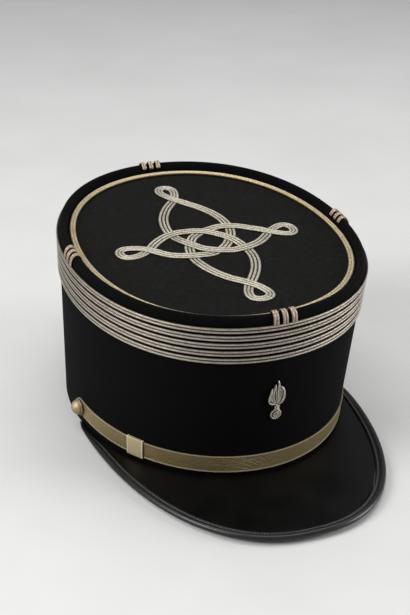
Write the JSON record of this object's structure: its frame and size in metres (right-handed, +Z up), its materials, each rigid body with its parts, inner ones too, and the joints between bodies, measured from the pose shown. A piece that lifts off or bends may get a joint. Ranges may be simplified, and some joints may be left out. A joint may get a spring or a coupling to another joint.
{
  "type": "kepi cap",
  "caption": "Officer's kepi: black oval crown with a sunk top, silver lace rows and top knot, lace chin strap on gilt buttons, flame badge and flat leather peak.",
  "frame": {"origin": "on the table under the middle of the whole cap, peak included", "axes": "+Z up from the bottom edge, +Y to the back of the cap with the peak towards -Y, +X to the wearer's left"},
  "size_m": [0.1808, 0.2716, 0.1212],
  "materials": {
    "crown_cloth": "black velvet-like wool cloth",
    "top_cloth": "dark charcoal wool cloth",
    "silver_braid": "woven silver metal thread",
    "pale_gold_braid": "woven pale gold metal thread",
    "strap_lace": "flat lace of dull gold thread",
    "button_gilt": "polished gilt",
    "peak_leather": "smooth black leather, satin",
    "binding_leather": "rolled black leather edge",
    "badge_thread": "embroidered silver thread"
  },
  "bodies": {
    "root": {"crown_wall": "crown_cloth", "crown_top": "top_cloth", "top_ring_braid": "pale_gold_braid", "top_knot": "silver_braid", "braid_row_1": "silver_braid", "braid_row_2": "silver_braid", "braid_row_3": "silver_braid", "braid_row_4": "silver_braid", "braid_row_5": "silver_braid", "rim_stripe_front_1": "pale_gold_braid", "rim_stripe_front_2": "pale_gold_braid", "rim_stripe_front_3": "pale_gold_braid", "rim_stripe_right_1": "pale_gold_braid", "rim_stripe_right_2": "pale_gold_braid", "rim_stripe_right_3": "pale_gold_braid", "rim_stripe_back_1": "pale_gold_braid", "rim_stripe_back_2": "pale_gold_braid", "rim_stripe_back_3": "pale_gold_braid", "rim_stripe_left_1": "pale_gold_braid", "rim_stripe_left_2": "pale_gold_braid", "rim_stripe_left_3": "pale_gold_braid", "chin_strap": "strap_lace", "strap_slide_right": "strap_lace", "strap_slide_left": "strap_lace", "strap_button_right": "button_gilt", "strap_button_left": "button_gilt", "peak": "peak_leather", "peak_binding": "binding_leather", "flame_badge": "badge_thread"}
  },
  "joints": []
}
